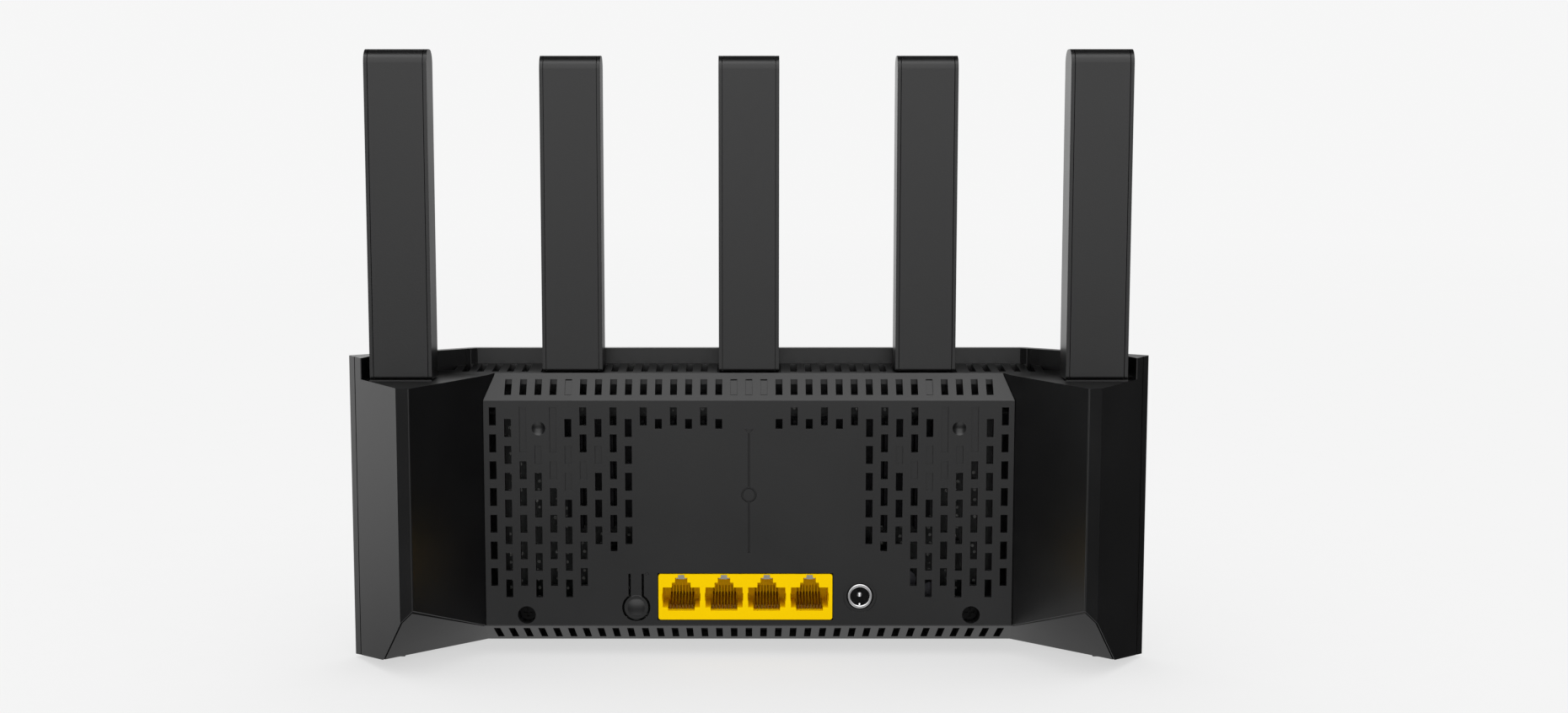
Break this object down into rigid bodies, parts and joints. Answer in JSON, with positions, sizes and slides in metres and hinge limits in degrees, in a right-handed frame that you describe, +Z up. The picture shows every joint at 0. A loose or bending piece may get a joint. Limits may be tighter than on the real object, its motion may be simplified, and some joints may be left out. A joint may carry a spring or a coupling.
{
  "type": "wireless router",
  "caption": "Upright wireless router with swept front panel, rear wings, folding flat antennas, yellow network port block, power socket, reset lever and vented rear cover.",
  "frame": {"origin": "centre of the object's base, on the surface that it stands on", "axes": "+Z up, -Y towards the front panel, +Y towards the sockets and wing ridges, +X to the right seen from the front"},
  "size_m": [0.2572, 0.0579, 0.1962],
  "materials": {
    "black_plastic": "satin moulded texture",
    "yellow_plastic": "satin",
    "component_black": "matte",
    "switch_cap": "matte",
    "circuit_board": "black solder mask",
    "thermal_pad": "soft",
    "aluminium": "black anodised",
    "tinned_steel": "tinned",
    "capacitor_can": "can",
    "brass": "gold plated",
    "led": "clear",
    "clear_light_pipe": "frosted",
    "chrome": "plated",
    "screw_steel": "black zinc",
    "cable_jacket": "matte",
    "rubber": "matte"
  },
  "bodies": {
    "root": {"front_panel": "black_plastic", "rear_cover": "black_plastic", "top_grille": "black_plastic", "right_wing_cover": "black_plastic", "left_wing_cover": "black_plastic", "bottom_cover": "black_plastic", "antenna_hinge_arms": "black_plastic", "rubber_feet": "rubber", "main_pcb": "circuit_board", "cpu_chip": "component_black", "ethernet_transformers": "component_black", "power_inductor": "component_black", "switch_body": "component_black", "dc_jack_body": "component_black", "thermal_pad": "thermal_pad", "heat_sink": "aluminium", "rf_shield_cans": "tinned_steel", "capacitors": "capacitor_can", "coax_connectors": "brass", "status_led": "led", "light_pipe": "clear_light_pipe", "rj45_housing": "yellow_plastic", "rj45_contacts": "brass", "rj45_latch_plates": "tinned_steel", "dc_jack_sleeve": "chrome", "dc_jack_pin": "chrome", "housing_screws": "screw_steel", "board_screws": "screw_steel", "antenna_1_cable": "cable_jacket", "antenna_2_cable": "cable_jacket", "antenna_3_cable": "cable_jacket", "antenna_4_cable": "cable_jacket", "antenna_5_cable": "cable_jacket"},
    "antenna_1": {"antenna_1_shell": "black_plastic", "antenna_1_cover": "black_plastic", "antenna_1_board": "circuit_board", "antenna_1_pin": "screw_steel"},
    "antenna_2": {"antenna_2_shell": "black_plastic", "antenna_2_cover": "black_plastic", "antenna_2_board": "circuit_board", "antenna_2_pin": "screw_steel"},
    "antenna_3": {"antenna_3_shell": "black_plastic", "antenna_3_cover": "black_plastic", "antenna_3_board": "circuit_board", "antenna_3_pin": "screw_steel"},
    "antenna_4": {"antenna_4_shell": "black_plastic", "antenna_4_cover": "black_plastic", "antenna_4_board": "circuit_board", "antenna_4_pin": "screw_steel"},
    "antenna_5": {"antenna_5_shell": "black_plastic", "antenna_5_cover": "black_plastic", "antenna_5_board": "circuit_board", "antenna_5_pin": "screw_steel"},
    "reset_button": {"reset_button": "black_plastic"},
    "switch_plunger": {"switch_plunger": "switch_cap"}
  },
  "joints": [
    {"name": "antenna_1_fold", "type": "hinge", "parent": "root", "child": "antenna_1", "pos_m": [0.10975, 0.00735, 0.0964], "axis": [-1, 0, 0], "range_deg": [0, 90]},
    {"name": "antenna_2_fold", "type": "hinge", "parent": "root", "child": "antenna_2", "pos_m": [0.0576, -0.01415, 0.0964], "axis": [-1, 0, 0], "range_deg": [0, 90]},
    {"name": "antenna_3_fold", "type": "hinge", "parent": "root", "child": "antenna_3", "pos_m": [0, -0.01415, 0.0964], "axis": [-1, 0, 0], "range_deg": [0, 90]},
    {"name": "antenna_4_fold", "type": "hinge", "parent": "root", "child": "antenna_4", "pos_m": [-0.0576, -0.01415, 0.0964], "axis": [-1, 0, 0], "range_deg": [0, 90]},
    {"name": "antenna_5_fold", "type": "hinge", "parent": "root", "child": "antenna_5", "pos_m": [-0.10975, 0.00735, 0.0964], "axis": [-1, 0, 0], "range_deg": [0, 90]},
    {"name": "button_press", "type": "hinge", "parent": "root", "child": "reset_button", "pos_m": [0.0368, -0.00495, 0.0274], "axis": [-1, 0, 0], "range_deg": [0, 2.5], "stiffness_Nm_per_rad": 0.35},
    {"name": "switch_travel", "type": "slide", "parent": "root", "child": "switch_plunger", "axis": [0, -1, 0], "range_m": [0, 0.00055]}
  ],
  "couplings": [
    {"joint": "switch_travel", "follows": "button_press", "m_per_rad": 0.0112}
  ]
}
